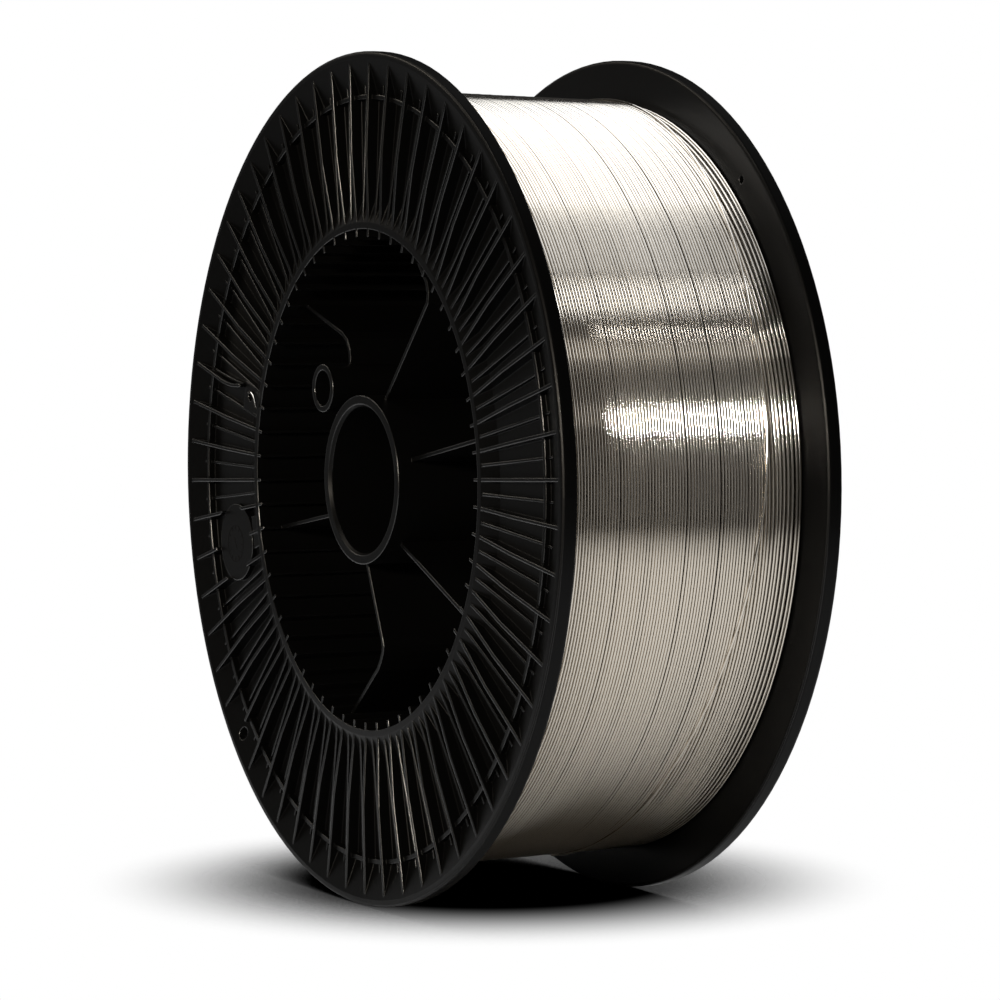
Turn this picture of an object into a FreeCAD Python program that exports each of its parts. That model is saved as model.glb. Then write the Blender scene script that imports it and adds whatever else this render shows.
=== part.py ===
import FreeCAD, Part
import math
import os

# Wire spool: one moulded spool and the winding it carries.
# Millimetres, axis along Y, origin at the bore centre, seen flange towards -Y.

V = FreeCAD.Vector

# Rim of each flange
RIM_R = 150.0
RIM_FACE_Y = 52.8
RIM_INNER_Y = 47.1
RIM_FILLET = 1.2
RIM_BAND_W = 2.4

# Disc of each flange, flat outside and slightly conical on the wire side
DISC_OUTER_Y = 48.0
DISC_INNER_ROOT_Y = 45.0
DISC_INNER_TIP_R = 136.0
DISC_INNER_TIP_Y = 46.8

# Ring rib, the groove outside it and the slope that rises to the rim
RING_IN_R = 133.4
RING_W = 1.6
RING_TOP_Y = 50.7
GROOVE_W = 2.0
GROOVE_Y = 48.7
SLOPE_ROOT_Y = 49.2

# Barrel, open at both ends
END_Y = 50.8
BARREL_IN_R = 88.2
BARREL_DRAFT = 0.3
BARREL_OUT_R = 92.6
END_RING_W = 2.3
SHOULDER_R = 99.0

# Radial ribs: long ones reach the rim, short ones the ring rib
RIBS = 60
RIB_START_DEG = 2.17
RIB_STEP_DEG = 360.0 / RIBS
RIB_BITE = 0.8
LONG_RIB_T = 1.2
LONG_RIB_Y = 52.3
LONG_RIB_FULL_R = 115.0
LONG_RIB_TIP = 3.2
SHORT_RIB_T = 1.0
SHORT_RIB_Y = 49.4

# Lengthwise ribs inside the barrel
CORE_RIB_T = 1.0
CORE_RIB_H = 2.7

# Arbor boss and driving-hole tube
BOSS_OUT_R = 29.76
BORE_R = 25.9
BORE_MOUTH_R = 26.75
BORE_LEAD = 1.2
DRIVE_X = -31.2
DRIVE_Z = 31.8
DRIVE_OUT_R = 8.57
DRIVE_BORE_R = 6.5
WEB_T = 1.6
WEB_Y = 40.0

# Spokes: angle at the boss, bends as (x, z), angle at the barrel wall
SPOKE_T = 1.4
SPOKE_Y_BOSS = 45.2
SPOKE_Y_WALL = 43.0
SPOKE_BITE = 1.5
SPOKES = [
    (75.0, [(34.4, 58.6), (37.3, 62.0), (37.8, 65.5), (36.2, 69.5), (30.5, 75.4)], 72.0),
    (15.7, [], 11.8),
    (-48.0, [], -32.7),
    (-106.0, [(3.2, -56.2), (3.8, -58.8), (3.2, -61.2), (1.5, -64.1), (-0.9, -67.2)], -106.5),
    (-153.5, [], -166.2),
]
DRIVE_SPOKE_BENDS = [(-31.2, 45.5), (-32.6, 49.0), (-35.5, 51.3), (-42.7, 54.2)]
DRIVE_SPOKE_WALL_DEG = 135.8
DRIVE_SPOKE_Y_TUBE = 40.0
DRIVE_SPOKE_Y_WALL = 43.5

# Round pad that interrupts the ribs of the seen flange
PAD_AT_R = 112.0
PAD_DEG = 194.3
PAD_R = 14.5
PAD_TOP_Y = 50.2
PAD_NO_SHORT_RIBS = (31, 32)
PAD_STEP_DEG = (190.4, 197.6)
PAD_STEP_GAP = 0.9
PAD_STEP_Y = 50.1

# Wire-end holes near the rims, one in each flange; a long rib ends at the ring rib beside the front one
RIM_HOLE_R = 2.4
RIM_HOLE_AT_R = 142.1
RIM_HOLE_RIB = 37
RIM_HOLE_OFF_DEG = 0.39
BACK_HOLE_R = 1.4
BACK_HOLE_AT_R = 141.2
BACK_HOLE_DEG = 47.4

# Wire-start hole in a raised patch, where one long rib bends aside: (radius, degrees off its line)
START_HOLE_R = 2.0
START_HOLE_AT_R = 98.9
START_HOLE_RIB = 27
START_HOLE_OFF_DEG = -0.57
PATCH_OUT_R = 103.8
PATCH_TOP_Y = 50.5
BENT_RIB = [(122.0, 0.0), (116.7, -0.2), (111.3, -0.7), (105.4, -1.7)]
LOW_RIB = [(134.2, -0.5), (119.0, -0.9), (106.0, -1.7)]
LOW_RIB_Y = 50.4

# Winding, slightly fuller at the seen flange
WIRE_FRONT_R = 136.9
WIRE_BACK_R = 135.6
WIRE_GAP = 0.15


def at(radius, angle_deg):
    a = math.radians(angle_deg)
    return radius * math.cos(a), radius * math.sin(a)


def rib_angle(k):
    return RIB_START_DEG + k * RIB_STEP_DEG


def disc_inner_y(radius):
    """Height of the flange's wire side at a radius."""
    share = (radius - BARREL_OUT_R) / (DISC_INNER_TIP_R - BARREL_OUT_R)
    return DISC_INNER_ROOT_Y + min(share, 1.0) * (DISC_INNER_TIP_Y - DISC_INNER_ROOT_Y)


def turned(points):
    """Turn a closed outline of (radius, y) pairs about the Y axis."""
    corners = [V(r, y, 0) for r, y in points]
    face = Part.Face(Part.makePolygon(corners + corners[:1]))
    return face.revolve(V(0, 0, 0), V(0, 1, 0), 360)


def rib(points, thickness, angle_deg):
    """A flat rib in the (radius, y) plane, centred on its own angle."""
    corners = [V(r, y, -thickness / 2) for r, y in points]
    solid = Part.Face(Part.makePolygon(corners + corners[:1])).extrude(V(0, 0, thickness))
    solid.rotate(V(0, 0, 0), V(0, 1, 0), -angle_deg)
    return solid


def strip(path, thickness):
    """Outline of a path of (x, z) points thickened to both sides."""
    left = []
    right = []
    for i, (x, z) in enumerate(path):
        dirs = []
        for a, b in ((path[max(i - 1, 0)], (x, z)), ((x, z), path[min(i + 1, len(path) - 1)])):
            run = math.hypot(b[0] - a[0], b[1] - a[1])
            if run > 1e-9:
                dirs.append(((b[0] - a[0]) / run, (b[1] - a[1]) / run))
        tx = sum(d[0] for d in dirs)
        tz = sum(d[1] for d in dirs)
        run = math.hypot(tx, tz)
        tx = tx / run
        tz = tz / run
        half = thickness / 2 / max(0.4, tx * dirs[0][0] + tz * dirs[0][1])
        left.append((x - tz * half, z + tx * half))
        right.append((x + tz * half, z - tx * half))
    return left + right[::-1]


def upright(outline, y_from, y_to):
    """Extrude a closed outline of (x, z) points along the axis."""
    corners = [V(x, y_from, z) for x, z in outline]
    return Part.Face(Part.makePolygon(corners + corners[:1])).extrude(V(0, y_to - y_from, 0))


def tube(x, z, radius, reach):
    return Part.makeCylinder(radius, 2 * reach, V(x, -reach, z), V(0, 1, 0))


def quarter(centre_r, centre_y, radius, from_deg):
    """Three chords of a quarter arc, turning clockwise from from_deg."""
    angles = [math.radians(from_deg - 30 * step) for step in range(4)]
    return [(centre_r + radius * math.cos(a), centre_y + radius * math.sin(a)) for a in angles]


def barrel_and_flanges():
    """Barrel, both discs, ring ribs and rims as one turned solid."""
    fillet_r = RIM_R - RIM_FILLET
    ring_out_r = RING_IN_R + RING_W
    half = [
        (BARREL_IN_R - BARREL_DRAFT, 0.0),
        (BARREL_IN_R, END_Y),
        (BARREL_IN_R + END_RING_W, END_Y),
        (SHOULDER_R, DISC_OUTER_Y),
        (RING_IN_R, DISC_OUTER_Y),
        (RING_IN_R, RING_TOP_Y),
        (ring_out_r, RING_TOP_Y),
        (ring_out_r, GROOVE_Y),
        (ring_out_r + GROOVE_W, SLOPE_ROOT_Y),
        (RIM_R - RIM_BAND_W, RIM_FACE_Y),
    ]
    half += quarter(fillet_r, RIM_FACE_Y - RIM_FILLET, RIM_FILLET, 90)
    half += quarter(fillet_r, RIM_INNER_Y + RIM_FILLET, RIM_FILLET, 0)
    half += [
        (DISC_INNER_TIP_R, DISC_INNER_TIP_Y),
        (BARREL_OUT_R, DISC_INNER_ROOT_Y),
    ]
    return turned(half + [(r, -y) for r, y in reversed(half[1:])])


def rib_underside(radii):
    """Points inside the disc's wall, for the hidden edge of a rib."""
    return [(r, disc_inner_y(r) + RIB_BITE) for r in radii]


def ribs_of_one_side(side):
    """Long and short ribs of the flange on the given side."""
    root_r = BARREL_IN_R + END_RING_W - 0.3
    ring_r = RING_IN_R + RING_W / 2
    slope_r = RING_IN_R + RING_W + GROOVE_W
    tip_r = RIM_R - LONG_RIB_TIP
    root = [(root_r, DISC_OUTER_Y + 0.5)]
    long_top = [(LONG_RIB_FULL_R, LONG_RIB_Y), (root_r, END_Y - 0.05)]
    long_outline = root + rib_underside((SHOULDER_R, ring_r))
    long_outline += [(tip_r + 0.4, RIM_INNER_Y + 1.5), (tip_r, LONG_RIB_Y)] + long_top
    cut_outline = root + rib_underside((SHOULDER_R, slope_r - 0.8))
    cut_outline += [(slope_r - 1.6, LONG_RIB_Y)] + long_top
    short_outline = root + rib_underside((SHOULDER_R, ring_r))
    short_outline += [(ring_r, SHORT_RIB_Y), (root_r, END_Y - 0.15)]
    shapes = []
    for k in range(RIBS):
        outline = long_outline
        if side < 0 and k == RIM_HOLE_RIB:
            outline = cut_outline
        if side > 0 or k != START_HOLE_RIB:
            shapes.append(rib([(r, side * y) for r, y in outline], LONG_RIB_T, rib_angle(k)))
        if side > 0 or k not in PAD_NO_SHORT_RIBS:
            shapes.append(rib([(r, side * y) for r, y in short_outline], SHORT_RIB_T, rib_angle(k + 0.5)))
    return shapes


def raised_patch(sides, out_r, top_y):
    """Block on the seen flange from the barrel's end ring out to out_r, between two angles."""
    root_r = BARREL_IN_R + END_RING_W - 0.3
    corners = [at(root_r, a) for a in sides] + [at(out_r, a) for a in sides[::-1]]
    return upright(corners, -top_y, -disc_inner_y(out_r) - RIB_BITE)


def start_hole_surround():
    """Bent long rib, low rib and raised patch round the wire-start hole."""
    centre = rib_angle(START_HOLE_RIB)
    bent = [at(RIM_R - LONG_RIB_TIP, centre)] + [at(r, centre + off) for r, off in BENT_RIB]
    low = [at(r, centre + off) for r, off in LOW_RIB]
    inside = rib_underside((SHOULDER_R, DISC_INNER_TIP_R, RIM_R - LONG_RIB_TIP))
    room = turned([(r, -y) for r, y in inside] + [(inside[-1][0], -RIM_FACE_Y), (SHOULDER_R, -RIM_FACE_Y)])
    walls = [
        upright(strip(bent, LONG_RIB_T), -LONG_RIB_Y, -DISC_INNER_ROOT_Y).common(room),
        upright(strip(low, SHORT_RIB_T), -LOW_RIB_Y, -DISC_INNER_ROOT_Y).common(room),
    ]
    sides = (centre - RIB_STEP_DEG / 2, centre + RIB_STEP_DEG / 2)
    return walls + [raised_patch(sides, PATCH_OUT_R, PATCH_TOP_Y)]


def core_ribs():
    reach = END_Y
    inner = BARREL_IN_R - CORE_RIB_H
    outer = BARREL_IN_R + 1.0
    outline = [(inner, -reach), (outer, -reach), (outer, reach), (inner, reach)]
    return [rib(outline, CORE_RIB_T, rib_angle(k)) for k in range(RIBS)]


def spoke_room(inner_r, inner_y, outer_y):
    """Turned envelope that slopes the spokes' end edges."""
    outer_r = BARREL_IN_R + SPOKE_BITE
    return turned([
        (inner_r - 10.0, -inner_y), (inner_r, -inner_y), (outer_r, -outer_y),
        (outer_r, outer_y), (inner_r, inner_y), (inner_r - 10.0, inner_y),
    ])


def hub():
    """Boss, driving-hole tube, web and the six spokes."""
    wall_r = BARREL_IN_R + SPOKE_BITE
    room = spoke_room(BOSS_OUT_R, SPOKE_Y_BOSS, SPOKE_Y_WALL)
    plates = []
    for boss_deg, bends, wall_deg in SPOKES:
        path = [at(BOSS_OUT_R - SPOKE_BITE, boss_deg)] + bends + [at(wall_r + 1.0, wall_deg)]
        plates.append(upright(strip(path, SPOKE_T), -END_Y, END_Y).common(room))
    drive_path = [(DRIVE_X, DRIVE_Z + DRIVE_OUT_R - 0.8)] + DRIVE_SPOKE_BENDS
    drive_path.append(at(wall_r + 1.0, DRIVE_SPOKE_WALL_DEG))
    drive_room = spoke_room(math.hypot(DRIVE_X, DRIVE_Z) + DRIVE_OUT_R, DRIVE_SPOKE_Y_TUBE, DRIVE_SPOKE_Y_WALL)
    plates.append(upright(strip(drive_path, SPOKE_T), -END_Y, END_Y).common(drive_room))
    drive_deg = math.degrees(math.atan2(DRIVE_Z, DRIVE_X))
    web_path = [at(BOSS_OUT_R - 2.0, drive_deg), at(math.hypot(DRIVE_X, DRIVE_Z) - DRIVE_OUT_R + 1.0, drive_deg)]
    plates.append(upright(strip(web_path, WEB_T), -WEB_Y, WEB_Y))
    solid = tube(0, 0, BOSS_OUT_R, END_Y).multiFuse([tube(DRIVE_X, DRIVE_Z, DRIVE_OUT_R, END_Y)] + plates)
    mouth = BORE_MOUTH_R - BORE_R
    half = [(BORE_R, END_Y - BORE_LEAD), (BORE_MOUTH_R, END_Y), (BORE_MOUTH_R + mouth, END_Y + BORE_LEAD)]
    bore = turned([(0, -END_Y - BORE_LEAD)] + [(r, -y) for r, y in half[::-1]] + half + [(0, END_Y + BORE_LEAD)])
    return solid.cut(bore).cut(tube(DRIVE_X, DRIVE_Z, DRIVE_BORE_R, END_Y + 1.0))


def wire_hole(radius, at_r, angle_deg, side=-1):
    """Drill through one flange, clear of its faces; side -1 is the seen flange."""
    x, z = at(at_r, angle_deg)
    start = V(x, side * (RIM_FACE_Y + 2.0), z)
    return Part.makeCylinder(radius, RIM_FACE_Y - DISC_INNER_ROOT_Y + 4.0, start, V(0, -side, 0))


def make_spool():
    shapes = ribs_of_one_side(-1) + ribs_of_one_side(1) + core_ribs() + start_hole_surround()
    shapes.append(raised_patch(PAD_STEP_DEG, PAD_AT_R - PAD_R - PAD_STEP_GAP, PAD_STEP_Y))
    body = barrel_and_flanges().multiFuse(shapes)
    x, z = at(PAD_AT_R, PAD_DEG)
    pad_root_y = disc_inner_y(PAD_AT_R) + RIB_BITE
    pad = Part.makeCylinder(PAD_R, PAD_TOP_Y - pad_root_y, V(x, -PAD_TOP_Y, z), V(0, 1, 0))
    clear = Part.makeCylinder(PAD_R, RIM_FACE_Y - PAD_TOP_Y, V(x, -RIM_FACE_Y, z), V(0, 1, 0))
    body = body.fuse(pad).cut(clear).fuse(hub())
    body = body.cut(wire_hole(RIM_HOLE_R, RIM_HOLE_AT_R, rib_angle(RIM_HOLE_RIB) + RIM_HOLE_OFF_DEG))
    body = body.cut(wire_hole(START_HOLE_R, START_HOLE_AT_R, rib_angle(START_HOLE_RIB) + START_HOLE_OFF_DEG))
    body = body.cut(wire_hole(BACK_HOLE_R, BACK_HOLE_AT_R, BACK_HOLE_DEG, side=1))
    return body.removeSplitter()


def make_winding():
    end_root = DISC_INNER_ROOT_Y - WIRE_GAP
    end_tip = DISC_INNER_TIP_Y - WIRE_GAP
    front_y = disc_inner_y(WIRE_FRONT_R) - WIRE_GAP
    back_y = disc_inner_y(WIRE_BACK_R) - WIRE_GAP
    outline = [(BARREL_OUT_R, -end_root)]
    if WIRE_FRONT_R > DISC_INNER_TIP_R:
        outline.append((DISC_INNER_TIP_R, -end_tip))
    outline += [(WIRE_FRONT_R, -front_y), (WIRE_BACK_R, back_y)]
    if WIRE_BACK_R > DISC_INNER_TIP_R:
        outline.append((DISC_INNER_TIP_R, end_tip))
    return turned(outline + [(BARREL_OUT_R, end_root)])


def as_solid(shape):
    if len(shape.Solids) != 1:
        raise RuntimeError("expected one solid, got %d" % len(shape.Solids))
    return shape.Solids[0]


os.makedirs("parts", exist_ok=True)
as_solid(make_winding()).exportStep("parts/wire_winding.step")
as_solid(make_spool()).exportStep("parts/spool.step")
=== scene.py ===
import math

import bpy
from mathutils import Matrix, Vector


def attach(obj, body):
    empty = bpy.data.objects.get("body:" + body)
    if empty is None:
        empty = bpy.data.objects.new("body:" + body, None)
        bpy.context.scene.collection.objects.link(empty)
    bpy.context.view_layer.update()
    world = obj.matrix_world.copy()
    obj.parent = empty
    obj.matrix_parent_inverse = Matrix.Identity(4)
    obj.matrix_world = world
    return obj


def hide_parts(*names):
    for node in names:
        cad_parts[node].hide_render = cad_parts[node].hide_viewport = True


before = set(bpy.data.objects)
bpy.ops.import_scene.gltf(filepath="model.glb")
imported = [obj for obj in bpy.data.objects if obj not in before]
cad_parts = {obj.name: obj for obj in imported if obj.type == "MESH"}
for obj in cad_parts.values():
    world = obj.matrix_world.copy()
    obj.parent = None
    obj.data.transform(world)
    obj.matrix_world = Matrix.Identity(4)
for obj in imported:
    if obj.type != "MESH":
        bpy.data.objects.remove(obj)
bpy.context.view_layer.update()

MM = 0.001

# Camera fitted to the photograph, millimetres and degrees
CAM_AZ = 61.864
CAM_EL = 2.776
CAM_DIST = 1314.376
CAM_RIGHT = -4.2516
CAM_UP = 8.2248
CAM_LENS = 131.94
CAM_SENSOR = 36.0

# Spool sizes that the pieces below are set against
RIM_R = 150.0
RIB_START_DEG = 2.17
RIBS = 60
RING_OUT_R = 135.0
GROOVE_Y = 48.7
STUB_END_R = 138.3
STUB_TOP_Y = 49.9
STUB_T = 0.9
STUB_INTO_RING = 0.3
STUB_INTO_GROOVE = 0.6
PAD_AT_R = 112.0
PAD_DEG = 194.3
PAD_TOP_Y = 50.2
DIAL_R = 6.9
DIAL_LINE = 0.45
DIAL_H = 0.08
DIAL_INTO_PAD = 0.1
DIAL_STEPS = 48
DIAL_DX = -1.0
DIAL_DZ = -0.6
DIAL_TICKS = 12
DIAL_TICK = 1.6
POINTER_DEG = 123.0
# Half of the pointer's outline: (along, across)
POINTER = [(-2.4, 0.25), (1.2, 0.25), (1.2, 1.0), (3.0, 0.0)]

# Winding
WIRE_D = 1.0
WIRE_PITCH = 1.2
WIRE_END_Y = 46.5
WIRE_FRONT_R = 136.9
WIRE_BACK_R = 135.6
WIRE_START_DEG = 100.0
ARC_STEPS = 144
WIRE_SIDES = 8
SINGLE_WIRE_SIDES = 10
BEND_STEPS = 6
PITCH_SCATTER = 0.035
LIFT_SCATTER = 0.06
WIRE_SEED = 7
LIFT_SEED_STEP = 100.0
DIP_DEPTH = 0.9
# Where the dip sets in and fades out, in mm past the last strand and in degrees
DIP_START = (0.0, 0.6)
DIP_FADE = (1.0, 7.0)
DIP_START_DEG = (-62.0, -50.0)
DIP_FADE_DEG = (100.0, 140.0)
# Wider gaps between neighbouring turns: (y, extra width)
WIDE_GAPS = [
    (-38.0, 0.1), (-23.0, 0.25), (-12.0, 0.1), (3.5, 0.25), (16.6, 0.4), (27.0, 0.2), (33.0, 0.15),
    (36.5, 0.2), (38.5, 0.3), (40.0, 0.45), (41.5, 0.5), (43.0, 0.6), (44.5, 0.7),
]
# Where the last strand crosses the layer: (degrees, y)
LAST_STRAND = [
    (-62, 17.6), (-55, 18.3), (-44.6, 19.2), (-34.9, 21.3), (-26.3, 23.5), (-18.5, 26.1), (-8.3, 29.1),
    (0, 31.6), (8.4, 33.0), (22.9, 33.2), (37.7, 36.4), (53.5, 39.0), (74, 41.5), (95, 43.6), (125, 46.0),
]
STRAND_LIFT = 0.2
STRAND_SIDE = 1.0
STRAND_LEAD_DEG = 20
STRAND_STEP_DEG = 1.5
# The start of the wire, out through the small hole and over the end of the barrel
WIRE_START = [
    (-95.5, -47.0, 29.4), (-95.5, -50.2, 29.4), (-94.9, -51.2, 29.3), (-93.4, -51.5, 29.3),
    (-91.6, -51.5, 28.9), (-90.0, -51.5, 27.7), (-88.7, -51.6, 26.0), (-87.4, -51.7, 23.6),
]
# Plain ring under the turns: (radius, y)
CORE = [(92.7, -45.0), (135.4, -46.2), (134.1, 46.2), (92.7, 45.0)]
CORE_STEPS = 128

# Plastic: grain over all of it, and rubbed edges that shine more
BLACK = (0.002, 0.002, 0.002, 1.0)
FACE_GLOSS = 0.12
PLASTIC_ROUGH = (0.28, 0.40)
GRAIN_SCALE = 700.0
GRAIN_DEPTH = 0.15
GRAIN_H = 0.1
EDGE_R = 0.6
EDGE_SAMPLES = 6
EDGE_ROUGH = 0.24
EDGE_IOR = 1.8
# Cosine between the face and its rounded edge, where the shine starts and where it is full
EDGE_TURN = (0.985, 0.93)
# Open share of the surroundings within EDGE_REACH, in a corner and on an edge
EDGE_OPEN = (0.75, 0.97)
EDGE_REACH = 1.6
DIAL_GLOSS = 0.15
DIAL_ROUGH = (0.5, 0.7)
DIAL_GRAIN_SCALE = 1200.0
DIAL_GRAIN_DEPTH = 0.4
DIAL_EDGE_R = 0.05

# Steel
STEEL = (0.83, 0.765, 0.67, 1.0)
STEEL_ROUGH = (0.07, 0.11)
STEEL_PATCHES = 120.0
# Dark colour of the layers below: painted shade in the gaps between the outermost turns
LOWER_STEEL_PAINTED_SHADE = (0.16, 0.148, 0.13, 1.0)
LOWER_ROUGH = (0.55, 0.4)
LOWER_TURNS = 262.0
LOWER_TURN_H = 0.3

# Stage, in metres
WORLD_OTHER = 0.008
WORLD_MIRRORED = 0.03
WORLD_SEEN = 1.0
FLOOR_R = 0.9
FLOOR_STEPS = 96
FLOOR_SHADE = 0.57
FLOOR_FADE = (0.45 * FLOOR_R, 0.98 * FLOOR_R)
# Round shadow that the camera sees, and how dark it is by the open share above the floor
SHADOW_AT = (-0.028, 0.015)
SHADOW_FADE = (0.065, 0.15)
SHADOW_REACH = 0.25
SHADOW_OPEN = (0.44, 1.2)
SHADOW_LIGHTEST = 0.55
COOL = (0.96, 1.0, 1.06)
WARM = (1.0, 0.9, 0.76)
WHITE = (1.0, 1.0, 1.0)
# Panels in front of the seen flange: middle, full width, full height
KEY_PANEL = ((2.0, -3.438, 0.864), (0.704, 0.412, 0.128), (-0.092, 0.033, 0.33))
STREAK_PANEL = ((1.533, -3.134, 2.083), (0.404, 0.292, 0.172), (-0.09, 0.036, 0.12))


def polar(radius, y, deg):
    a = math.radians(deg)
    return Vector((radius * math.cos(a) * MM, y * MM, radius * math.sin(a) * MM))


# Node trees
class Tree:
    """A geometry node tree with named inputs, and short ways to add its nodes."""

    def __init__(self, name, sizes):
        self.tree = bpy.data.node_groups.new(name, "GeometryNodeTree")
        face = self.tree.interface
        face.new_socket("Geometry", in_out="OUTPUT", socket_type="NodeSocketGeometry")
        face.new_socket("Geometry", in_out="INPUT", socket_type="NodeSocketGeometry")
        for key, value in sizes.items():
            kind = "NodeSocketInt" if isinstance(value, int) else "NodeSocketFloat"
            face.new_socket(key, in_out="INPUT", socket_type=kind)
        face.new_socket("Material", in_out="INPUT", socket_type="NodeSocketMaterial")
        self.inputs = self.tree.nodes.new("NodeGroupInput").outputs

    def add(self, kind, **settings):
        node = self.tree.nodes.new(kind)
        for key, value in settings.items():
            setattr(node, key, value)
        return node

    def feed(self, socket, value):
        if isinstance(value, bpy.types.NodeSocket):
            self.tree.links.new(value, socket)
        else:
            socket.default_value = value

    def math(self, operation, first, second=0.0, third=None):
        node = self.add("ShaderNodeMath", operation=operation)
        self.feed(node.inputs[0], first)
        self.feed(node.inputs[1], second)
        if third is not None:
            self.feed(node.inputs[2], third)
        return node.outputs[0]

    def ramp(self, value, low, high, to_low=0.0, to_high=1.0, kind="SMOOTHSTEP"):
        node = self.add("ShaderNodeMapRange", interpolation_type=kind)
        self.feed(node.inputs["Value"], value)
        self.feed(node.inputs["From Min"], low)
        self.feed(node.inputs["From Max"], high)
        self.feed(node.inputs["To Min"], to_low)
        self.feed(node.inputs["To Max"], to_high)
        return node.outputs["Result"]

    def vector(self, x, y, z):
        node = self.add("ShaderNodeCombineXYZ")
        self.feed(node.inputs["X"], x)
        self.feed(node.inputs["Y"], y)
        self.feed(node.inputs["Z"], z)
        return node.outputs["Vector"]

    def moved(self, geometry, place, turn=(0.0, 0.0, 0.0)):
        node = self.add("GeometryNodeTransform")
        self.feed(node.inputs["Geometry"], geometry)
        self.feed(node.inputs["Translation"], place)
        self.feed(node.inputs["Rotation"], turn)
        return node.outputs["Geometry"]

    def joined(self, *parts):
        node = self.add("GeometryNodeJoinGeometry")
        for part in reversed(parts):
            self.tree.links.new(part, node.inputs["Geometry"])
        return node.outputs["Geometry"]

    def block(self, x, y, z):
        node = self.add("GeometryNodeMeshCube")
        self.feed(node.inputs["Size"], self.vector(x, y, z))
        return node.outputs["Mesh"]

    def around_y(self, geometry, count, start):
        """Copies of a geometry turned evenly about the Y axis, from the start angle in degrees."""
        spots = self.add("GeometryNodeMeshLine")
        self.feed(spots.inputs["Count"], count)
        self.feed(spots.inputs["Offset"], (0.0, 0.0, 0.0))
        index = self.add("GeometryNodeInputIndex").outputs["Index"]
        step = self.math("DIVIDE", -math.tau, count)
        first = self.math("MULTIPLY", start, -math.pi / 180)
        turn = self.math("MULTIPLY_ADD", index, step, first)
        copies = self.add("GeometryNodeInstanceOnPoints")
        self.feed(copies.inputs["Points"], spots.outputs["Mesh"])
        self.feed(copies.inputs["Instance"], geometry)
        self.feed(copies.inputs["Rotation"], self.vector(0.0, turn, 0.0))
        return copies.outputs["Instances"]

    def round_bar(self, curve, diameter, sides):
        profile = self.add("GeometryNodeCurvePrimitiveCircle")
        self.feed(profile.inputs["Resolution"], sides)
        self.feed(profile.inputs["Radius"], self.math("MULTIPLY", diameter, 0.5 * MM))
        bar = self.add("GeometryNodeCurveToMesh")
        self.feed(bar.inputs["Curve"], curve)
        self.feed(bar.inputs["Profile Curve"], profile.outputs["Curve"])
        self.feed(bar.inputs["Fill Caps"], True)
        return bar.outputs["Mesh"]

    def finish(self, geometry, shade_smooth):
        real = self.add("GeometryNodeRealizeInstances")
        self.feed(real.inputs["Geometry"], geometry)
        shaded = self.add("GeometryNodeSetShadeSmooth")
        self.feed(shaded.inputs["Geometry"], real.outputs["Geometry"])
        self.feed(shaded.inputs["Shade Smooth"], shade_smooth)
        painted = self.add("GeometryNodeSetMaterial")
        self.feed(painted.inputs["Geometry"], shaded.outputs["Geometry"])
        self.feed(painted.inputs["Material"], self.inputs["Material"])
        output = self.add("NodeGroupOutput")
        self.feed(output.inputs["Geometry"], painted.outputs["Geometry"])
        return self.tree


def new_object(name, data):
    piece = bpy.data.objects.new(name, data)
    bpy.context.scene.collection.objects.link(piece)
    return piece


def path_object(name, points, smooth_bends):
    """Curve through the given points, straight between them or bent smoothly."""
    data = bpy.data.curves.new(name, "CURVE")
    data.dimensions = "3D"
    spline = data.splines.new("BEZIER" if smooth_bends else "POLY")
    knots = spline.bezier_points if smooth_bends else spline.points
    knots.add(len(points) - 1)
    for knot, point in zip(knots, points):
        knot.co = point if smooth_bends else (*point, 1.0)
        if smooth_bends:
            knot.handle_left_type = "AUTO"
            knot.handle_right_type = "AUTO"
    spline.resolution_u = BEND_STEPS
    return new_object(name, data)


def mesh_object(name, verts, faces):
    mesh = bpy.data.meshes.new(name)
    mesh.from_pydata(verts, [], faces)
    mesh.update()
    return new_object(name, mesh)


def made_piece(name, source, tree, sizes, material):
    """Plain mesh that a node tree makes from a source object; the source goes."""
    modifier = source.modifiers.new("nodes", "NODES")
    modifier.node_group = tree
    for item in tree.interface.items_tree:
        if item.in_out == "INPUT" and item.name in sizes:
            modifier[item.identifier] = sizes[item.name]
        elif item.in_out == "INPUT" and item.name == "Material":
            modifier[item.identifier] = material
    bpy.context.view_layer.update()
    ready = source.evaluated_get(bpy.context.evaluated_depsgraph_get())
    mesh = bpy.data.meshes.new_from_object(ready)
    mesh.name = name
    source.modifiers.remove(modifier)
    bpy.data.objects.remove(source)
    return new_object(name, mesh)


# Camera
def place_camera():
    az = math.radians(CAM_AZ)
    el = math.radians(CAM_EL)
    back = Vector((math.sin(az) * math.cos(el), -math.cos(az) * math.cos(el), math.sin(el)))
    right = Vector((math.cos(az), math.sin(az), 0.0))
    up = back.cross(right)
    place = (back * CAM_DIST - right * CAM_RIGHT - up * CAM_UP) * MM
    data = bpy.data.cameras.new("camera")
    data.lens = CAM_LENS
    data.sensor_width = CAM_SENSOR
    camera = new_object("camera", data)
    turn = Matrix((right, up, back)).transposed().to_4x4()
    camera.matrix_world = Matrix.Translation(place) @ turn
    bpy.context.scene.camera = camera


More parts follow.
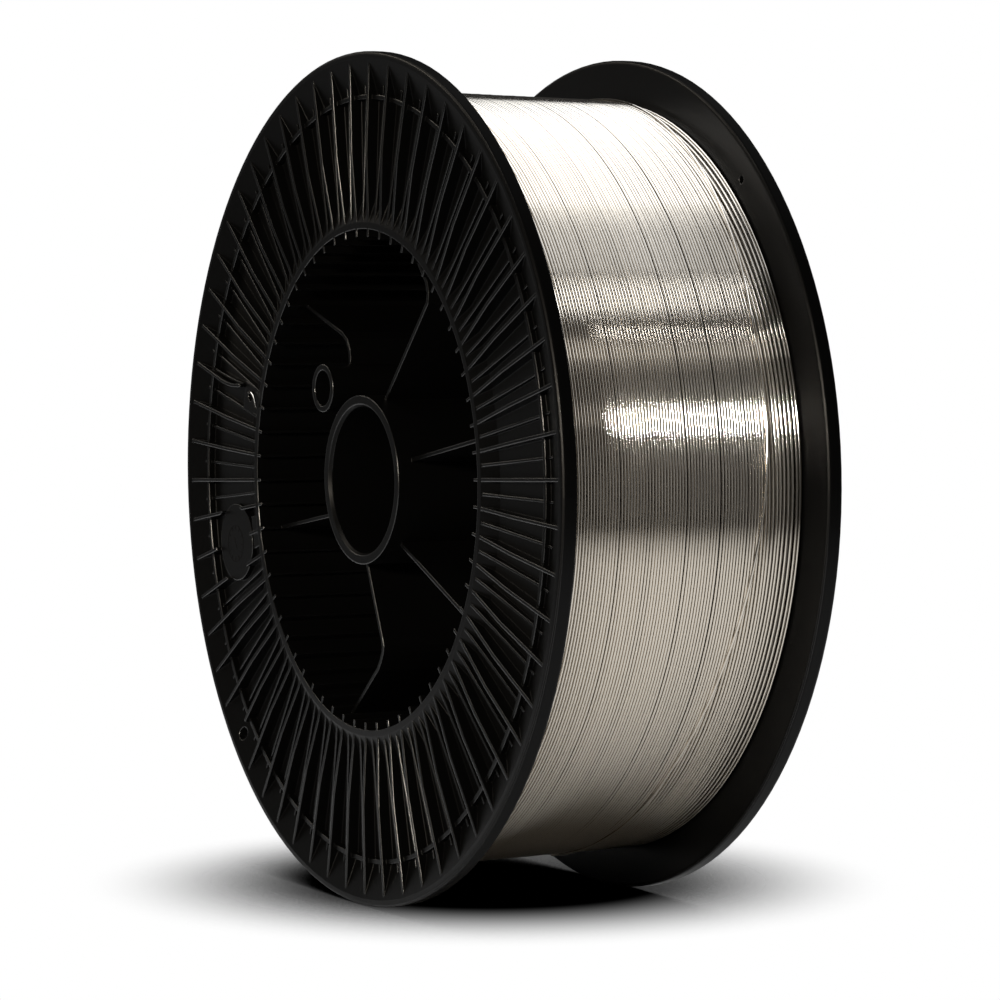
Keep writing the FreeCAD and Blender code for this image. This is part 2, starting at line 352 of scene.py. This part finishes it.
# Materials
def moulded_grain():
    """Shared effect: fine moulded grain over rounded edges, and a mask of the open edges."""
    group = bpy.data.node_groups.new("moulded_grain", "ShaderNodeTree")
    face = group.interface
    for name in ("Grain Scale", "Grain Depth", "Edge Radius"):
        face.new_socket(name, in_out="INPUT", socket_type="NodeSocketFloat")
    face.new_socket("Normal", in_out="OUTPUT", socket_type="NodeSocketVector")
    face.new_socket("Edge", in_out="OUTPUT", socket_type="NodeSocketFloat")
    face.new_socket("Grain", in_out="OUTPUT", socket_type="NodeSocketFloat")
    given = group.nodes.new("NodeGroupInput")
    result = group.nodes.new("NodeGroupOutput")
    coords = group.nodes.new("ShaderNodeTexCoord")
    grain = group.nodes.new("ShaderNodeTexNoise")
    grain.inputs["Detail"].default_value = 3.0
    group.links.new(coords.outputs["Object"], grain.inputs["Vector"])
    group.links.new(given.outputs["Grain Scale"], grain.inputs["Scale"])
    rounded = group.nodes.new("ShaderNodeBevel")
    rounded.samples = EDGE_SAMPLES
    group.links.new(given.outputs["Edge Radius"], rounded.inputs["Radius"])
    flat = group.nodes.new("ShaderNodeNewGeometry")
    agree = group.nodes.new("ShaderNodeVectorMath")
    agree.operation = "DOT_PRODUCT"
    group.links.new(rounded.outputs["Normal"], agree.inputs[0])
    group.links.new(flat.outputs["Normal"], agree.inputs[1])
    edge = group.nodes.new("ShaderNodeMapRange")
    edge.inputs["From Min"].default_value = EDGE_TURN[0]
    edge.inputs["From Max"].default_value = EDGE_TURN[1]
    group.links.new(agree.outputs["Value"], edge.inputs["Value"])
    corner = group.nodes.new("ShaderNodeAmbientOcclusion")
    corner.samples = 4
    corner.inputs["Distance"].default_value = EDGE_REACH * MM
    open_side = group.nodes.new("ShaderNodeMapRange")
    open_side.inputs["From Min"].default_value = EDGE_OPEN[0]
    open_side.inputs["From Max"].default_value = EDGE_OPEN[1]
    group.links.new(corner.outputs["AO"], open_side.inputs["Value"])
    both = group.nodes.new("ShaderNodeMath")
    both.operation = "MULTIPLY"
    group.links.new(edge.outputs["Result"], both.inputs[0])
    group.links.new(open_side.outputs["Result"], both.inputs[1])
    bump = group.nodes.new("ShaderNodeBump")
    bump.inputs["Distance"].default_value = GRAIN_H * MM
    group.links.new(given.outputs["Grain Depth"], bump.inputs["Strength"])
    group.links.new(rounded.outputs["Normal"], bump.inputs["Normal"])
    group.links.new(grain.outputs["Fac"], bump.inputs["Height"])
    group.links.new(bump.outputs["Normal"], result.inputs["Normal"])
    group.links.new(both.outputs["Value"], result.inputs["Edge"])
    group.links.new(grain.outputs["Fac"], result.inputs["Grain"])
    return group


def new_material(name):
    material = bpy.data.materials.new(name)
    material.use_nodes = True
    tree = material.node_tree
    tree.nodes.clear()
    output = tree.nodes.new("ShaderNodeOutputMaterial")
    shader = tree.nodes.new("ShaderNodeBsdfPrincipled")
    tree.links.new(shader.outputs["BSDF"], output.inputs["Surface"])
    return material, tree, shader


def roughness_from(tree, mask, rough, shader):
    """Roughness that follows a mask between two values."""
    spread = tree.nodes.new("ShaderNodeMapRange")
    spread.inputs["To Min"].default_value = rough[0]
    spread.inputs["To Max"].default_value = rough[1]
    tree.links.new(mask, spread.inputs["Value"])
    tree.links.new(spread.outputs["Result"], shader.inputs["Roughness"])


def grain_on(tree, grain, scale, depth, edge_r):
    effect = tree.nodes.new("ShaderNodeGroup")
    effect.node_tree = grain
    effect.inputs["Grain Scale"].default_value = scale
    effect.inputs["Grain Depth"].default_value = depth
    effect.inputs["Edge Radius"].default_value = edge_r * MM
    return effect


def plastic_material(grain):
    """Black moulding whose rubbed edges shine more than its faces."""
    material, tree, shader = new_material("black_plastic")
    shader.inputs["Base Color"].default_value = BLACK
    shader.inputs["Specular IOR Level"].default_value = FACE_GLOSS
    shader.inputs["Coat Roughness"].default_value = EDGE_ROUGH
    shader.inputs["Coat IOR"].default_value = EDGE_IOR
    effect = grain_on(tree, grain, GRAIN_SCALE, GRAIN_DEPTH, EDGE_R)
    tree.links.new(effect.outputs["Edge"], shader.inputs["Coat Weight"])
    tree.links.new(effect.outputs["Normal"], shader.inputs["Normal"])
    edge_round = tree.nodes.new("ShaderNodeBevel")
    edge_round.samples = EDGE_SAMPLES
    edge_round.inputs["Radius"].default_value = EDGE_R * MM
    tree.links.new(edge_round.outputs["Normal"], shader.inputs["Coat Normal"])
    roughness_from(tree, effect.outputs["Grain"], PLASTIC_ROUGH, shader)
    return material


def dial_material(grain):
    """Same plastic, duller and with a coarser grain."""
    material, tree, shader = new_material("black_plastic_matt")
    shader.inputs["Base Color"].default_value = BLACK
    shader.inputs["Specular IOR Level"].default_value = DIAL_GLOSS
    effect = grain_on(tree, grain, DIAL_GRAIN_SCALE, DIAL_GRAIN_DEPTH, DIAL_EDGE_R)
    tree.links.new(effect.outputs["Normal"], shader.inputs["Normal"])
    roughness_from(tree, effect.outputs["Grain"], DIAL_ROUGH, shader)
    return material


def steel_material():
    """Bright drawn wire, with faint patches that are duller."""
    material, tree, shader = new_material("bright_steel_wire")
    shader.inputs["Base Color"].default_value = STEEL
    shader.inputs["Metallic"].default_value = 1.0
    coords = tree.nodes.new("ShaderNodeTexCoord")
    patches = tree.nodes.new("ShaderNodeTexNoise")
    patches.inputs["Scale"].default_value = STEEL_PATCHES
    patches.inputs["Detail"].default_value = 2.0
    tree.links.new(coords.outputs["Object"], patches.inputs["Vector"])
    roughness_from(tree, patches.outputs["Fac"], STEEL_ROUGH, shader)
    return material


def shaded_lower_wire_material():
    """Duller, rougher wire of the layers below, seen in the gaps between the outermost turns; its dark
    colour is painted shade of the gaps.
    """
    material, tree, shader = new_material("steel_wire_below_painted_shade")
    shader.inputs["Base Color"].default_value = LOWER_STEEL_PAINTED_SHADE
    shader.inputs["Metallic"].default_value = 1.0
    coords = tree.nodes.new("ShaderNodeTexCoord")
    turns = tree.nodes.new("ShaderNodeTexWave")
    turns.bands_direction = "Y"
    turns.inputs["Scale"].default_value = LOWER_TURNS
    turns.inputs["Distortion"].default_value = 0.4
    tree.links.new(coords.outputs["Object"], turns.inputs["Vector"])
    bump = tree.nodes.new("ShaderNodeBump")
    bump.inputs["Distance"].default_value = LOWER_TURN_H * MM
    tree.links.new(turns.outputs["Fac"], bump.inputs["Height"])
    tree.links.new(bump.outputs["Normal"], shader.inputs["Normal"])
    roughness_from(tree, turns.outputs["Fac"], LOWER_ROUGH, shader)
    return material


# Winding
def cone_radius(y):
    """Outer radius of the winding, which is slightly conical."""
    share = (y + WIRE_END_Y) / (2 * WIRE_END_Y)
    return WIRE_FRONT_R + (WIRE_BACK_R - WIRE_FRONT_R) * share


def last_strand_y(deg):
    for (a0, y0), (a1, y1) in zip(LAST_STRAND, LAST_STRAND[1:]):
        if deg <= a1:
            return y0 + (y1 - y0) * (deg - a0) / (a1 - a0)
    return LAST_STRAND[-1][1]


def winding_tree(sizes):
    """Outermost turns as one wire on a helix, with a dip beside the last strand."""
    t = Tree("winding_turns", sizes)
    given = t.inputs
    count = t.math("MULTIPLY_ADD", given["Turns"], given["Steps per Turn"], 1.0)
    line = t.add("GeometryNodeCurvePrimitiveLine")
    spots = t.add("GeometryNodeResampleCurve")
    t.feed(spots.inputs["Curve"], line.outputs["Curve"])
    t.feed(spots.inputs["Count"], count)
    index = t.add("GeometryNodeInputIndex").outputs["Index"]
    turns_done = t.math("DIVIDE", index, given["Steps per Turn"])
    turn = t.math("FLOOR", turns_done)
    part = t.math("FRACT", turns_done)

    def scatter(which, amount, seed_step):
        node = t.add("FunctionNodeRandomValue", data_type="FLOAT")
        t.feed(node.inputs[2], -1.0)
        t.feed(node.inputs[3], 1.0)
        t.feed(node.inputs["ID"], which)
        t.feed(node.inputs["Seed"], t.math("ADD", given["Seed"], seed_step))
        return t.math("MULTIPLY", node.outputs[1], amount)

    gap = t.add("GeometryNodeInputNamedAttribute", data_type="FLOAT")
    gap.inputs["Name"].default_value = "gap"
    gap_here = t.add("GeometryNodeSampleIndex", data_type="FLOAT", clamp=True)
    t.feed(gap_here.inputs["Geometry"], given["Geometry"])
    t.feed(gap_here.inputs["Value"], gap.outputs["Attribute"])
    t.feed(gap_here.inputs["Index"], turn)
    width = t.math("ADD", given["Pitch"], gap_here.outputs["Value"])
    width = t.math("ADD", width, scatter(turn, given["Pitch Scatter"], 0.0))
    run = t.add("GeometryNodeAccumulateField", data_type="FLOAT")
    t.feed(run.inputs["Value"], width)
    half = t.math("MULTIPLY_ADD", given["Wire Diameter"], -0.5, given["Half Width"])
    share = t.math("DIVIDE", run.outputs["Trailing"], run.outputs["Total"])
    y = t.math("MULTIPLY_ADD", share, t.math("MULTIPLY", half, 2.0), t.math("MULTIPLY", half, -1.0))

    before = scatter(turn, given["Lift Scatter"], LIFT_SEED_STEP)
    after = scatter(t.math("ADD", turn, 1.0), given["Lift Scatter"], LIFT_SEED_STEP)
    lift = t.ramp(part, 0.0, 1.0, before, after)
    degrees = t.math("MULTIPLY_ADD", turns_done, 360.0, given["Start Angle"])
    side = t.math("WRAP", degrees, 180.0, -180.0)
    first, last = LAST_STRAND[0], LAST_STRAND[-1]
    line_y = t.add("ShaderNodeFloatCurve")
    curve = line_y.mapping.curves[0]
    for a, strand_y in LAST_STRAND:
        place = ((a - first[0]) / (last[0] - first[0]), (strand_y - first[1]) / (last[1] - first[1]))
        if 0.0 < place[0] < 1.0:
            curve.points.new(*place)
    for point in curve.points:
        point.handle_type = "VECTOR"
    line_y.mapping.update()
    t.feed(line_y.inputs["Value"], t.ramp(side, float(first[0]), float(last[0]), kind="LINEAR"))
    strand_y = t.math("MULTIPLY_ADD", line_y.outputs["Value"], last[1] - first[1], first[1])
    past = t.math("SUBTRACT", y, strand_y)
    dip = t.math("MULTIPLY", t.ramp(past, *DIP_START), t.ramp(past, *DIP_FADE, 1.0, 0.0))
    there = t.math("MULTIPLY", t.ramp(side, *DIP_START_DEG), t.ramp(side, *DIP_FADE_DEG, 1.0, 0.0))
    dip = t.math("MULTIPLY", dip, there)
    top = t.ramp(share, 0.0, 1.0, given["Front Radius"], given["Back Radius"], kind="LINEAR")
    radius = t.math("SUBTRACT", top, t.math("MULTIPLY", dip, given["Dip"]))
    radius = t.math("ADD", t.math("MULTIPLY_ADD", given["Wire Diameter"], -0.5, radius), lift)
    radius = t.math("MULTIPLY", radius, MM)
    angle = t.math("RADIANS", degrees)
    x = t.math("MULTIPLY", radius, t.math("COSINE", angle))
    z = t.math("MULTIPLY", radius, t.math("SINE", angle))
    place = t.add("GeometryNodeSetPosition")
    t.feed(place.inputs["Geometry"], spots.outputs["Curve"])
    t.feed(place.inputs["Position"], t.vector(x, t.math("MULTIPLY", y, MM), z))
    return t.finish(t.round_bar(place.outputs["Geometry"], given["Wire Diameter"], given["Sides"]), True)


def make_winding(steel):
    turns = int(2 * WIRE_END_Y / WIRE_PITCH)
    table = mesh_object("turn_table", [(0.0, 0.0, 0.0)] * turns, [])
    gap = table.data.attributes.new("gap", "FLOAT", "POINT")
    for y, width in WIDE_GAPS:
        gap.data[int((y + WIRE_END_Y) / WIRE_PITCH)].value = width
    sizes = {
        "Wire Diameter": WIRE_D, "Pitch": WIRE_PITCH, "Turns": turns, "Steps per Turn": ARC_STEPS,
        "Sides": WIRE_SIDES, "Half Width": WIRE_END_Y, "Front Radius": WIRE_FRONT_R,
        "Back Radius": WIRE_BACK_R, "Start Angle": WIRE_START_DEG, "Pitch Scatter": PITCH_SCATTER,
        "Lift Scatter": LIFT_SCATTER, "Dip": DIP_DEPTH, "Seed": WIRE_SEED,
    }
    return made_piece("wire_turns", table, winding_tree(sizes), sizes, steel)


def make_core(below):
    """Plain ring under the turns, down to the barrel."""
    verts = []
    faces = []
    n = len(CORE)
    for k in range(CORE_STEPS):
        for radius, y in CORE:
            verts.append(polar(radius, y, 360.0 * k / CORE_STEPS))
    for k in range(CORE_STEPS):
        ahead = (k + 1) % CORE_STEPS
        for j in range(n):
            side = (j + 1) % n
            faces.append((k * n + j, k * n + side, ahead * n + side, ahead * n + j))
    core = mesh_object("wire_core", verts, faces)
    core.data.materials.append(below)
    return core


def wire_tree(sizes):
    t = Tree("single_wire", sizes)
    return t.finish(t.round_bar(t.inputs["Geometry"], t.inputs["Wire Diameter"], t.inputs["Sides"]), True)


def make_single_wires(steel):
    """The last strand, which crosses the layer, and the start of the wire at the barrel."""
    sizes = {"Wire Diameter": WIRE_D, "Sides": SINGLE_WIRE_SIDES}
    tree = wire_tree(sizes)
    low = LAST_STRAND[0][0] - STRAND_LEAD_DEG
    steps = int((LAST_STRAND[-1][0] - low) / STRAND_STEP_DEG)
    points = []
    for step in range(steps + 1):
        deg = low + STRAND_STEP_DEG * step
        y = last_strand_y(deg)
        points.append(polar(cone_radius(y - STRAND_SIDE) + STRAND_LIFT, y, deg))
    strand = made_piece("last_strand", path_object("strand_path", points, False), tree, sizes, steel)
    bends = [Vector(p) * MM for p in WIRE_START]
    start = made_piece("wire_start", path_object("start_path", bends, True), tree, sizes, steel)
    return [strand, start]


# Small relief of the moulding
def stub_tree(sizes):
    """Short bridges from the ring rib to the slope, one between each two long ribs of both flanges."""
    t = Tree("groove_stubs", sizes)
    given = t.inputs
    length = t.math("MULTIPLY", t.math("SUBTRACT", given["Outer Radius"], given["Inner Radius"]), MM)
    height = t.math("MULTIPLY", t.math("SUBTRACT", given["Top"], given["Bottom"]), MM)
    bar = t.block(length, height, t.math("MULTIPLY", given["Thickness"], MM))
    at_r = t.math("MULTIPLY", t.math("ADD", given["Outer Radius"], given["Inner Radius"]), MM / 2)
    at_y = t.math("MULTIPLY", t.math("ADD", given["Top"], given["Bottom"]), MM / 2)
    front = t.moved(bar, t.vector(at_r, t.math("MULTIPLY", at_y, -1.0), 0.0))
    back = t.moved(bar, t.vector(at_r, at_y, 0.0))
    return t.finish(t.around_y(t.joined(front, back), given["Count"], given["Start Angle"]), False)


def make_stubs(plastic):
    sizes = {
        "Count": RIBS, "Start Angle": RIB_START_DEG + 180.0 / RIBS,
        "Inner Radius": RING_OUT_R - STUB_INTO_RING, "Outer Radius": STUB_END_R,
        "Bottom": GROOVE_Y - STUB_INTO_GROOVE, "Top": STUB_TOP_Y, "Thickness": STUB_T,
    }
    source = mesh_object("stub_source", [], [])
    return made_piece("groove_stubs", source, stub_tree(sizes), sizes, plastic)


def dial_tree(sizes):
    """Ring and ticks of a date dial, joined to the pointer that comes in."""
    t = Tree("date_dial", sizes)
    given = t.inputs
    height = t.math("MULTIPLY", given["Height"], MM)
    line = t.math("MULTIPLY", given["Line"], MM)
    reach = t.math("MULTIPLY", given["Tick"], MM)
    radius = t.math("MULTIPLY", given["Radius"], MM)
    tick = t.moved(t.block(reach, height, line),
                   t.vector(t.math("MULTIPLY_ADD", reach, -0.5, radius), 0.0, 0.0))
    ticks = t.around_y(tick, given["Ticks"], 0.0)
    circle = t.add("GeometryNodeCurvePrimitiveCircle")
    t.feed(circle.inputs["Resolution"], DIAL_STEPS)
    t.feed(circle.inputs["Radius"], radius)
    profile = t.add("GeometryNodeCurvePrimitiveQuadrilateral")
    t.feed(profile.inputs["Width"], line)
    t.feed(profile.inputs["Height"], height)
    ring = t.add("GeometryNodeCurveToMesh")
    t.feed(ring.inputs["Curve"], circle.outputs["Curve"])
    t.feed(ring.inputs["Profile Curve"], profile.outputs["Curve"])
    flat = t.moved(ring.outputs["Mesh"], (0.0, 0.0, 0.0), (math.pi / 2, 0.0, 0.0))
    whole = t.joined(ticks, flat, given["Geometry"])
    place = t.vector(*(t.math("MULTIPLY", given[axis], MM) for axis in ("Centre X", "Centre Y", "Centre Z")))
    return t.finish(t.moved(whole, place), False)


def make_dial(matt):
    """Pointer's outline as a flat block, round which the tree adds ring and ticks."""
    a = math.radians(PAD_DEG)
    height = DIAL_H + DIAL_INTO_PAD
    turn = math.radians(POINTER_DEG)
    outline = POINTER + [(along, -across) for along, across in reversed(POINTER) if across]
    verts = []
    for y in (-height / 2, height / 2):
        for along, across in outline:
            x = along * math.cos(turn) - across * math.sin(turn)
            z = along * math.sin(turn) + across * math.cos(turn)
            verts.append((MM * x, MM * y, MM * z))
    n = len(outline)
    faces = [tuple(reversed(range(n))), tuple(range(n, 2 * n))]
    faces += [(k, (k + 1) % n, n + (k + 1) % n, n + k) for k in range(n)]
    pointer = mesh_object("dial_pointer", verts, faces)
    sizes = {
        "Radius": DIAL_R, "Line": DIAL_LINE, "Height": height, "Tick": DIAL_TICK, "Ticks": DIAL_TICKS,
        "Centre X": PAD_AT_R * math.cos(a) + DIAL_DX, "Centre Y": -PAD_TOP_Y - DIAL_H + height / 2,
        "Centre Z": PAD_AT_R * math.sin(a) + DIAL_DZ,
    }
    return made_piece("date_dial", pointer, dial_tree(sizes), sizes, matt)


# Light
def softbox(name, from_deg, to_deg, radiance, receivers, color=WHITE, y_from=-1.2, y_to=2.4,
            distance=1.5):
    """Panel parallel to the axis, set by the angles it spans in the XZ plane."""
    mid = math.radians((from_deg + to_deg) / 2)
    height = 2 * distance * math.tan(math.radians((to_deg - from_deg) / 2))
    width = y_to - y_from
    data = bpy.data.lights.new(name, "AREA")
    data.shape = "RECTANGLE"
    data.size = height
    data.size_y = width
    data.energy = radiance * math.pi * height * width
    data.color = color
    light = new_object(name, data)
    back = Vector((math.cos(mid), 0.0, math.sin(mid)))
    along = Vector((0.0, 1.0, 0.0))
    side = along.cross(back)
    place = back * distance + along * (y_from + y_to) / 2
    light.matrix_world = Matrix.Translation(place) @ Matrix((side, along, back)).transposed().to_4x4()
    light.visible_camera = False
    light.light_linking.receiver_collection = receivers


def flood(name, panel, radiance, receivers, color=WHITE):
    """Panel set by its middle and its full width and height as vectors."""
    middle, across, upward = (Vector(part) for part in panel)
    back = across.cross(upward).normalized()
    side = across.normalized()
    rise = back.cross(side)
    data = bpy.data.lights.new(name, "AREA")
    data.shape = "RECTANGLE"
    data.size = across.length
    data.size_y = upward.length
    data.energy = radiance * math.pi * data.size * data.size_y
    data.color = color
    light = new_object(name, data)
    light.matrix_world = Matrix.Translation(middle) @ Matrix((side, rise, back)).transposed().to_4x4()
    light.visible_camera = False
    light.light_linking.receiver_collection = receivers


def light_group(name, pieces):
    """Collection of the pieces a light falls on."""
    group = bpy.data.collections.new(name)
    for piece in pieces:
        group.objects.link(piece)
    return group


def either(tree, first, second):
    """One where either of two masks is one."""
    node = tree.nodes.new("ShaderNodeMath")
    node.operation = "MAXIMUM"
    tree.links.new(first, node.inputs[0])
    tree.links.new(second, node.inputs[1])
    return node.outputs["Value"]


def set_world():
    """White behind the object; steel mirrors it as a dim room, between the soft boxes."""
    world = bpy.data.worlds.new("studio")
    bpy.context.scene.world = world
    world.use_nodes = True
    tree = world.node_tree
    tree.nodes.clear()
    output = tree.nodes.new("ShaderNodeOutputWorld")
    path = tree.nodes.new("ShaderNodeLightPath")
    levels = [tree.nodes.new("ShaderNodeBackground") for _ in range(3)]
    for level, strength in zip(levels, (WORLD_OTHER, WORLD_MIRRORED, WORLD_SEEN)):
        level.inputs["Color"].default_value = (1.0, 1.0, 1.0, 1.0)
        level.inputs["Strength"].default_value = strength
    mirrored = tree.nodes.new("ShaderNodeMixShader")
    seen = tree.nodes.new("ShaderNodeMixShader")
    glossy = either(tree, path.outputs["Is Glossy Ray"], path.outputs["Is Transmission Ray"])
    tree.links.new(glossy, mirrored.inputs["Fac"])
    tree.links.new(levels[0].outputs["Background"], mirrored.inputs[1])
    tree.links.new(levels[1].outputs["Background"], mirrored.inputs[2])
    tree.links.new(path.outputs["Is Camera Ray"], seen.inputs["Fac"])
    tree.links.new(mirrored.outputs["Shader"], seen.inputs[1])
    tree.links.new(levels[2].outputs["Background"], seen.inputs[2])
    tree.links.new(seen.outputs["Shader"], output.inputs["Surface"])


def make_floor():
    """Pale round floor that fades out into the white behind it; the colour the camera sees is darkened near
    the object by a painted shadow.
    """
    rim = [polar(FLOOR_R / MM, 0.0, 360.0 * k / FLOOR_STEPS) for k in range(FLOOR_STEPS)]
    corners = [(v.x, v.z, -RIM_R * MM) for v in rim]
    floor = mesh_object("floor", corners, [tuple(range(FLOOR_STEPS))])
    material = bpy.data.materials.new("floor_white")
    material.use_nodes = True
    tree = material.node_tree
    tree.nodes.clear()
    output = tree.nodes.new("ShaderNodeOutputMaterial")
    coords = tree.nodes.new("ShaderNodeTexCoord")
    path = tree.nodes.new("ShaderNodeLightPath")
    clear = tree.nodes.new("ShaderNodeBsdfTransparent")

    def faded(fade, middle):
        """Diffuse floor that turns clear between two distances from a middle (x, y)."""
        paint = tree.nodes.new("ShaderNodeBsdfDiffuse")
        length = tree.nodes.new("ShaderNodeVectorMath")
        length.operation = "DISTANCE"
        length.inputs[1].default_value = (*middle, -RIM_R * MM)
        clearing = tree.nodes.new("ShaderNodeMapRange")
        clearing.interpolation_type = "SMOOTHSTEP"
        clearing.inputs["From Min"].default_value = fade[0]
        clearing.inputs["From Max"].default_value = fade[1]
        mix = tree.nodes.new("ShaderNodeMixShader")
        tree.links.new(coords.outputs["Object"], length.inputs[0])
        tree.links.new(length.outputs["Value"], clearing.inputs["Value"])
        tree.links.new(clearing.outputs["Result"], mix.inputs["Fac"])
        tree.links.new(paint.outputs["BSDF"], mix.inputs[1])
        tree.links.new(clear.outputs["BSDF"], mix.inputs[2])
        return mix.outputs["Shader"], paint.inputs["Color"]

    by_ray = tree.nodes.new("ShaderNodeMixShader")
    tree.links.new(path.outputs["Is Camera Ray"], by_ray.inputs["Fac"])
    mirrored, mirrored_color = faded(FLOOR_FADE, (0.0, 0.0))
    mirrored_color.default_value = (FLOOR_SHADE, FLOOR_SHADE, FLOOR_SHADE, 1.0)
    seen, seen_color = faded(SHADOW_FADE, SHADOW_AT)
    # The open share above the floor sets the colour the camera sees: a painted shadow on top of the lamps'
    # own shadow
    near = tree.nodes.new("ShaderNodeAmbientOcclusion")
    near.samples = 8
    near.inputs["Distance"].default_value = SHADOW_REACH
    tone = tree.nodes.new("ShaderNodeMapRange")
    tone.inputs["From Min"].default_value = SHADOW_OPEN[0]
    tone.inputs["From Max"].default_value = SHADOW_OPEN[1]
    tone.inputs["To Max"].default_value = SHADOW_LIGHTEST
    tree.links.new(near.outputs["AO"], tone.inputs["Value"])
    tree.links.new(tone.outputs["Result"], seen_color)
    tree.links.new(mirrored, by_ray.inputs[1])
    tree.links.new(seen, by_ray.inputs[2])
    tree.links.new(by_ray.outputs["Shader"], output.inputs["Surface"])
    floor.data.materials.append(material)
    return floor


place_camera()
set_world()
floor = make_floor()

grain = moulded_grain()
plastic = plastic_material(grain)
steel = steel_material()
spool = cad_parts["spool"]
spool.data.materials.clear()
spool.data.materials.append(plastic)

turns = make_winding(steel)
wire = [turns, make_core(shaded_lower_wire_material())] + make_single_wires(steel)
for piece in wire:
    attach(piece, "root")
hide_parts("wire_winding")
relief = [make_stubs(plastic), make_dial(dial_material(grain))]
for piece in relief:
    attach(piece, "root")

on_wire = light_group("on_wire", wire)
on_plastic = light_group("on_plastic", relief + [spool])
on_floor = light_group("on_floor", [floor])
softbox("overhead", 81.0, 134.0, 1.95, on_wire, COOL)
softbox("upper_grey", 58.5, 81.0, 0.72, on_wire, COOL)
softbox("upper_streak", 48.5, 58.5, 5.6, on_wire, COOL, y_from=0.45, y_to=1.1)
softbox("mid_grey", 33.5, 39.0, 0.85, on_wire, y_from=-0.4, y_to=1.4)
softbox("low_glow", 16.0, 22.0, 0.6, on_wire, y_from=0.3, y_to=1.2)
softbox("dim_wall", -17.0, 61.0, 0.5, on_wire, y_from=0.3, y_to=1.25, distance=1.9)
softbox("dim_front", -17.0, 61.0, 0.05, on_wire, y_from=-6.0, y_to=-2.2, distance=1.9)
flood("thin_streak", STREAK_PANEL, 18.0, on_wire)
flood("key_light", KEY_PANEL, 125.0, on_wire)
flood("key_edges", KEY_PANEL, 150.0, on_plastic, WARM)
softbox("rim_edges", 85.0, 155.0, 1.8, on_plastic, WARM, y_from=-0.9, y_to=-0.45)
softbox("left_front", 150.0, 210.0, 0.1, on_plastic, y_from=-1.5, y_to=0.4)
softbox("top_soft", 70.0, 130.0, 0.12, on_plastic)
softbox("floor_light", 45.0, 122.0, 2.5, on_floor, y_from=-2.0, y_to=2.0)

bpy.context.scene.view_settings.view_transform = "Standard"
